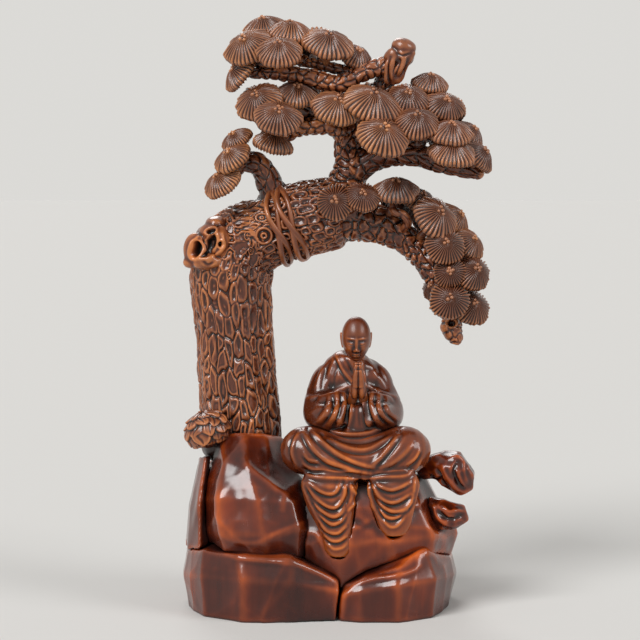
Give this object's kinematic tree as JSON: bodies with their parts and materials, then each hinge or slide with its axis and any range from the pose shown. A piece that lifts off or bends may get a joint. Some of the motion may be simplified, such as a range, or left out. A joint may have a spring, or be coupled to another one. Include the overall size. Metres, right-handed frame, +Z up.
{
  "type": "okimono carving",
  "caption": "Boxwood carving of a robed figure sitting in prayer on rocks, under a leaning pine with fluted pads of needles.",
  "frame": {"origin": "on the flat underside, below the vertical line through the middle of the front view", "axes": "+Z up from the surface it stands on, +X to the viewer's right in the front view, +Y to the back"},
  "size_m": [0.1151, 0.07, 0.2202],
  "materials": {
    "rock_boxwood": "stained and waxed, broad polished facets",
    "bark_boxwood": "stained and waxed, dark in the cuts and worn lighter on the ridges",
    "needle_boxwood": "stained and waxed, fine dark flutes with worn lighter ridges",
    "robe_boxwood": "stained, waxed and rubbed bright on the folds",
    "skin_boxwood": "stained and polished smooth"
  },
  "bodies": {
    "root": {"base_slab_left": "rock_boxwood", "base_slab_right": "rock_boxwood", "bough": "bark_boxwood", "boulder": "rock_boxwood", "branch_stub": "bark_boxwood", "crown_branch": "bark_boxwood", "crown_burl": "bark_boxwood", "crown_twig": "bark_boxwood", "curled_stone_lower": "rock_boxwood", "curled_stone_upper": "rock_boxwood", "curled_twig": "bark_boxwood", "drooping_branch": "bark_boxwood", "figure_hands": "skin_boxwood", "figure_head": "skin_boxwood", "figure_lap": "robe_boxwood", "figure_sleeve_left": "robe_boxwood", "figure_sleeve_right": "robe_boxwood", "figure_torso": "robe_boxwood", "fork_branch": "bark_boxwood", "leaf_tuft": "needle_boxwood", "left_limb": "bark_boxwood", "loop_branch": "bark_boxwood", "needle_beds": "needle_boxwood", "pad_crown_2": "needle_boxwood", "pad_crown_3": "needle_boxwood", "pad_crown_4": "needle_boxwood", "pad_crown_5": "needle_boxwood", "pad_crown_7": "needle_boxwood", "pad_droop_12": "needle_boxwood", "pad_droop_3": "needle_boxwood", "pad_droop_5": "needle_boxwood", "pad_droop_7": "needle_boxwood", "pad_middle_1": "needle_boxwood", "pad_middle_2": "needle_boxwood", "pad_middle_3": "needle_boxwood", "pad_middle_4": "needle_boxwood", "pad_middle_5": "needle_boxwood", "pad_middle_6": "needle_boxwood", "pad_middle_7": "needle_boxwood", "pad_middle_8": "needle_boxwood", "pad_right_2": "needle_boxwood", "pad_right_3": "needle_boxwood", "pad_right_5": "needle_boxwood", "pad_right_6": "needle_boxwood", "pads_bough": "needle_boxwood", "pads_crown_behind": "needle_boxwood", "pads_droop_behind": "needle_boxwood", "pads_droop_front": "needle_boxwood", "pads_droop_side": "needle_boxwood", "pads_left": "needle_boxwood", "pads_middle_behind": "needle_boxwood", "pads_right_behind": "needle_boxwood", "rear_rock": "rock_boxwood", "right_branch": "bark_boxwood", "robe_hem_left": "robe_boxwood", "robe_hem_right": "robe_boxwood", "seat_rock": "rock_boxwood", "trunk": "bark_boxwood", "trunk_knot": "bark_boxwood", "vines": "bark_boxwood"}
  },
  "joints": []
}
